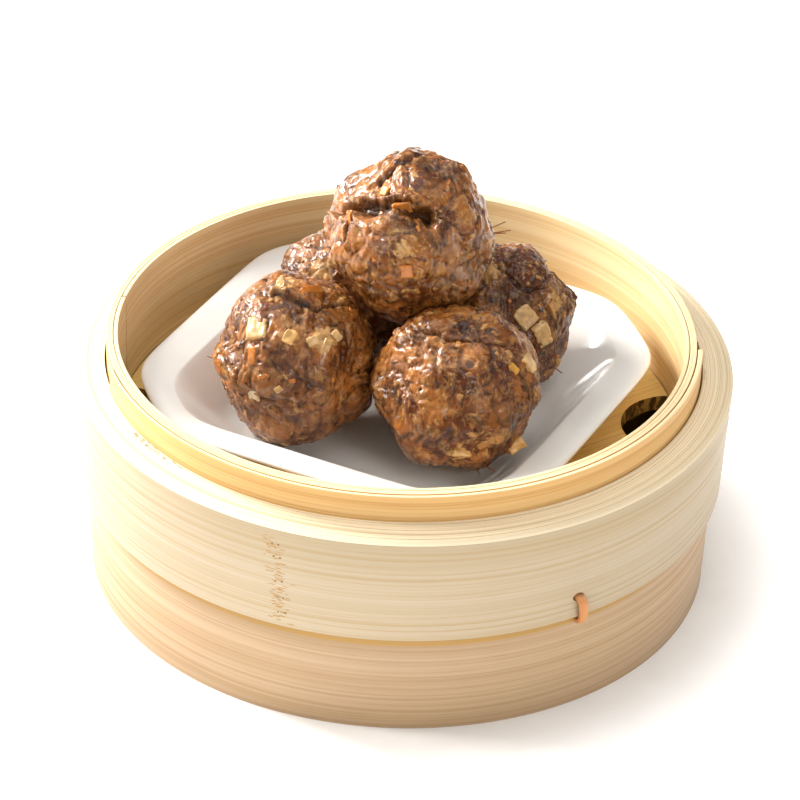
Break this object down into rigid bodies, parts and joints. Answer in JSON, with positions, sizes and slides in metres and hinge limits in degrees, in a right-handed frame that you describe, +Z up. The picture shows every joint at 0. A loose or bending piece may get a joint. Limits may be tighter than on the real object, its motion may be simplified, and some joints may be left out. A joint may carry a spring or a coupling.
{
  "type": "steamer of beef meatballs",
  "caption": "Round bamboo steamer basket, open at the top, holding a cut-cornered square porcelain plate with a pile of glossy beef meatballs.",
  "frame": {"origin": "centre of the circle that the basket stands on", "axes": "+Z up, -Y towards the side that the picture shows as the front, +X to its right"},
  "size_m": [0.18, 0.18, 0.1208],
  "materials": {
    "bamboo_band": "pale wound bamboo strip, fine horizontal grain, satin",
    "bamboo_lower": "wound bamboo strip, a little darker, satin",
    "bamboo_ring": "golden bent bamboo, pale at the cut edge, satin",
    "bamboo_floor": "flat bamboo board, honey brown, satin",
    "rattan": "orange rattan strip, satin",
    "porcelain": "white glazed porcelain",
    "meat": "braised minced beef, brown, wet and glossy, with paler fat and sinew"
  },
  "bodies": {
    "root": {"band_upper": "bamboo_band", "band_lower": "bamboo_lower", "ring_liner": "bamboo_ring", "ring_core": "bamboo_ring", "ring_strip": "bamboo_ring", "stitch_1": "rattan", "stitch_2": "rattan", "stitch_3": "rattan", "floor_board": "bamboo_floor", "floor_batten_1": "bamboo_floor", "floor_batten_2": "bamboo_floor", "plate": "porcelain", "meatball_left": "meat", "meatball_front": "meat", "meatball_right": "meat", "meatball_back": "meat", "meatball_top": "meat"}
  },
  "joints": []
}
